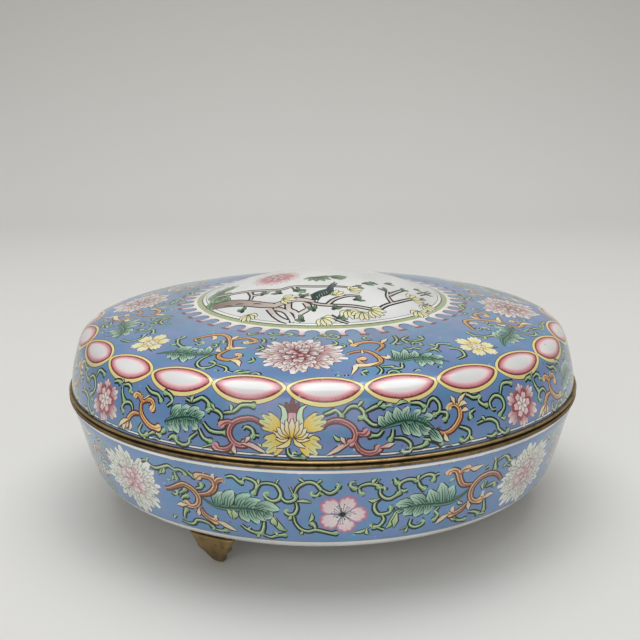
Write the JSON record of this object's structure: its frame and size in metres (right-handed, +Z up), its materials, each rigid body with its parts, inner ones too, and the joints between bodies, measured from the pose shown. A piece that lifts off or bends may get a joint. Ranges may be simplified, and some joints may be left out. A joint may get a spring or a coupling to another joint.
{
  "type": "enamel box",
  "caption": "Round shallow enamelled copper box with a domed lift-off lid, gilt brass rims and small brass feet.",
  "frame": {"origin": "on the surface the box stands on, under the middle of the box", "axes": "+Z up; -Y is the side the picture shows, with a foot about 27 degrees to its left"},
  "size_m": [0.2, 0.2, 0.0886],
  "materials": {
    "lid_enamel": "glossy painted enamel on copper",
    "bowl_enamel": "glossy painted enamel on copper",
    "gilt_rim": "worn gilding with brown patina",
    "foot_brass": "cast, toned brown"
  },
  "bodies": {
    "root": {"lid": "lid_enamel", "lid_rim": "gilt_rim", "bowl": "bowl_enamel", "bowl_rim": "gilt_rim", "foot_front": "foot_brass", "foot_right": "foot_brass", "foot_rear": "foot_brass"}
  },
  "joints": []
}
